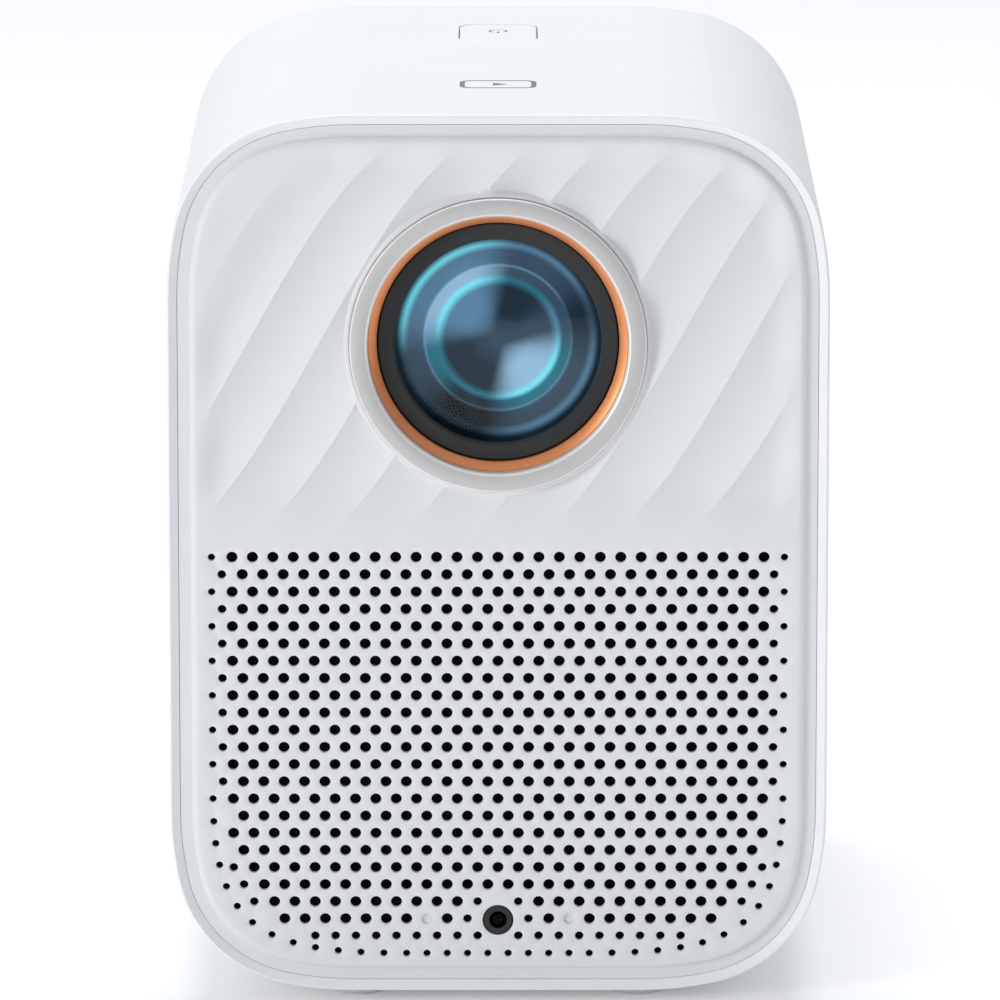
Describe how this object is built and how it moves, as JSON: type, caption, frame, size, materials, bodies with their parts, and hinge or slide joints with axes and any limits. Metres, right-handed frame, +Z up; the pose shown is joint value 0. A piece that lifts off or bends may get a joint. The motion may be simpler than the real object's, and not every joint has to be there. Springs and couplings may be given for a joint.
{
  "type": "home projector",
  "caption": "Small upright home projector: rounded sleeve, perforated pillow face with wave relief, large focusing lens, top power button, rear ports and fan outlet.",
  "frame": {"origin": "centre of the footprint, on the table under the rubber feet", "axes": "+Z up, -Y out of the lens along the beam, +X to the right of someone who faces the lens"},
  "size_m": [0.113, 0.1342, 0.155],
  "materials": {
    "white_shell": "fine satin moulding, white",
    "face_grey": "fine satin moulding, pale grey",
    "dust_cloth": "black woven mesh",
    "dark_plastic": "black, fine texture",
    "rubber": "grey, matt",
    "brass": "turned",
    "steel": "zinc plated",
    "trim_metal": "bead blasted, clear anodised",
    "accent_metal": "copper orange anodised, turned",
    "lens_black": "glass-filled moulding, matt black",
    "coated_glass": "polished, blue coating",
    "clear_glass": "polished",
    "clear_plastic": "grooved acrylic",
    "mirror": "front silvered",
    "aluminium": "extruded, plain",
    "circuit": "green solder mask",
    "emitter": "phosphor",
    "magnet": "sintered, black",
    "paper": "pressed paper, black",
    "gear_plastic": "natural acetal",
    "symbol_grey": "printed ink, grey"
  },
  "bodies": {
    "housing": {"outer_sleeve": "white_shell", "top_mark": "symbol_grey", "front_panel": "face_grey", "grille_cloth": "dust_cloth", "rear_cover": "white_shell", "base_tray": "dark_plastic", "tripod_bush": "brass", "rubber_feet": "rubber", "case_screws": "steel", "inner_screws": "steel", "lens_trim_ring": "trim_metal", "lens_accent_ring": "accent_metal", "lens_mount": "dark_plastic", "focus_ring_clip": "steel", "focus_motor": "steel", "focus_bracket": "dark_plastic", "engine_housing": "dark_plastic", "fold_mirror": "mirror", "mirror_cover": "dark_plastic", "light_funnel": "aluminium", "heat_glass": "clear_glass", "fresnel_lenses": "clear_plastic", "liquid_crystal_panel": "clear_glass", "led_board": "aluminium", "led_emitter": "emitter", "heat_sink": "aluminium", "side_brackets": "steel", "fan_frame": "dark_plastic", "speaker_baffle": "dark_plastic", "speaker_baskets": "steel", "speaker_magnets": "magnet", "speaker_surrounds": "rubber", "mainboard": "circuit", "dc_inlet": "dark_plastic", "audio_socket": "dark_plastic", "usb_socket": "steel", "hdmi_socket": "steel", "camera_housing": "dark_plastic", "camera_lens": "coated_glass", "camera_board": "circuit", "button_switch": "dark_plastic", "button_board": "circuit"},
    "power_key": {"power_button": "white_shell", "power_symbol": "symbol_grey", "switch_plunger": "dark_plastic"},
    "focus_barrel": {"lens_front_ring": "lens_black", "front_lens": "coated_glass", "lens_barrel": "lens_black", "inner_lens_1": "clear_glass", "inner_lens_2": "clear_glass", "inner_lens_3": "clear_glass", "lens_spacers": "lens_black", "lens_rear_ring": "lens_black", "focus_pin": "steel"},
    "focus_gear": {"focus_ring": "gear_plastic"},
    "focus_drive": {"focus_pinion": "brass"},
    "fan": {"fan_rotor": "dark_plastic"},
    "left_cone": {"speaker_cone_left": "paper"},
    "right_cone": {"speaker_cone_right": "paper"}
  },
  "joints": [
    {"name": "power_press", "type": "slide", "parent": "housing", "child": "power_key", "axis": [0, 0, -1], "range_m": [0, 0.0005], "stiffness_N_per_m": 3000, "springref_m": -0.0002},
    {"name": "focus_turn", "type": "hinge", "parent": "housing", "child": "focus_gear", "pos_m": [0, -0.04595, 0.1154], "axis": [0, 1, 0], "range_deg": [-45.1, 45.1]},
    {"name": "focus_slide", "type": "slide", "parent": "housing", "child": "focus_barrel", "axis": [0, -1, 0], "range_m": [-0.002, 0.002]},
    {"name": "pinion_turn", "type": "hinge", "parent": "housing", "child": "focus_drive", "pos_m": [0.02493, -0.04595, 0.09047], "axis": [0, 1, 0], "range_deg": [-175.1, 175.1]},
    {"name": "fan_spin", "type": "hinge", "parent": "housing", "child": "fan", "pos_m": [0, 0.05605, 0.061], "axis": [0, 1, 0], "continuous": true},
    {"name": "left_cone_move", "type": "slide", "parent": "housing", "child": "left_cone", "axis": [0, -1, 0], "range_m": [-0.001, 0.001], "stiffness_N_per_m": 1500},
    {"name": "right_cone_move", "type": "slide", "parent": "housing", "child": "right_cone", "axis": [0, -1, 0], "range_m": [-0.001, 0.001], "stiffness_N_per_m": 1500}
  ],
  "couplings": [
    {"joint": "focus_turn", "follows": "focus_slide", "rad_per_m": 392.7},
    {"joint": "pinion_turn", "follows": "focus_slide", "rad_per_m": -1527.2}
  ]
}
